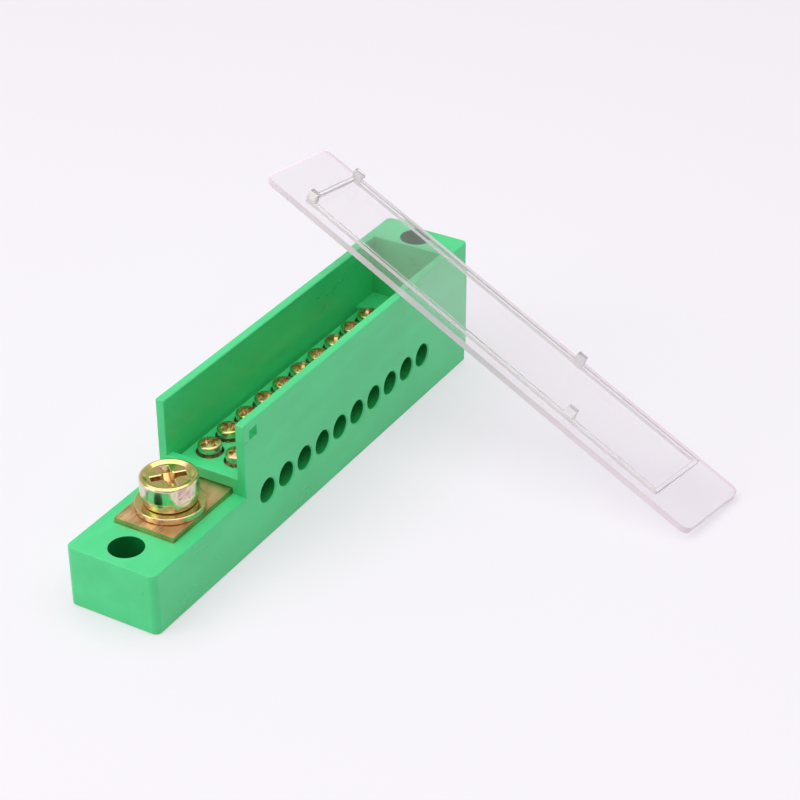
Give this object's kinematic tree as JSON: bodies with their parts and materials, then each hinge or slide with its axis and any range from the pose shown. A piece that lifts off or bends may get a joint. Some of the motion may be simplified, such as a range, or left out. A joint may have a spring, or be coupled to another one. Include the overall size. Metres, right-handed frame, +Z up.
{
  "type": "power distribution block",
  "caption": "Green moulded power distribution block with a brass bar, rows of clamp screws over side wire entries, a main screw terminal and a clear hooked cover lifted off.",
  "frame": {"origin": "middle of the housing's flat base", "axes": "+X along the housing from the main terminal to the end block, +Z up, +Y towards the side wall away from the lower end of the leaning cover"},
  "size_m": [0.1666, 0.1579, 0.0647],
  "materials": {
    "green_plastic": "moulded, semi-gloss",
    "brass_bar": "drawn bar, sawn ends",
    "yellow_zinc_steel": "yellow-passivated zinc plating",
    "clear_plastic": "clear, polished"
  },
  "bodies": {
    "root": {"housing": "green_plastic", "busbar": "brass_bar", "main_screw": "yellow_zinc_steel", "main_spring_washer": "yellow_zinc_steel", "main_flat_washer": "yellow_zinc_steel", "cover": "clear_plastic", "clamp_screw_left_01": "yellow_zinc_steel", "clamp_screw_left_02": "yellow_zinc_steel", "clamp_screw_left_03": "yellow_zinc_steel", "clamp_screw_left_04": "yellow_zinc_steel", "clamp_screw_left_05": "yellow_zinc_steel", "clamp_screw_left_06": "yellow_zinc_steel", "clamp_screw_left_07": "yellow_zinc_steel", "clamp_screw_left_08": "yellow_zinc_steel", "clamp_screw_left_09": "yellow_zinc_steel", "clamp_screw_left_10": "yellow_zinc_steel", "clamp_screw_right_01": "yellow_zinc_steel", "clamp_screw_right_02": "yellow_zinc_steel", "clamp_screw_right_03": "yellow_zinc_steel", "clamp_screw_right_04": "yellow_zinc_steel", "clamp_screw_right_05": "yellow_zinc_steel", "clamp_screw_right_06": "yellow_zinc_steel", "clamp_screw_right_07": "yellow_zinc_steel", "clamp_screw_right_08": "yellow_zinc_steel", "clamp_screw_right_09": "yellow_zinc_steel", "clamp_screw_right_10": "yellow_zinc_steel"}
  },
  "joints": []
}
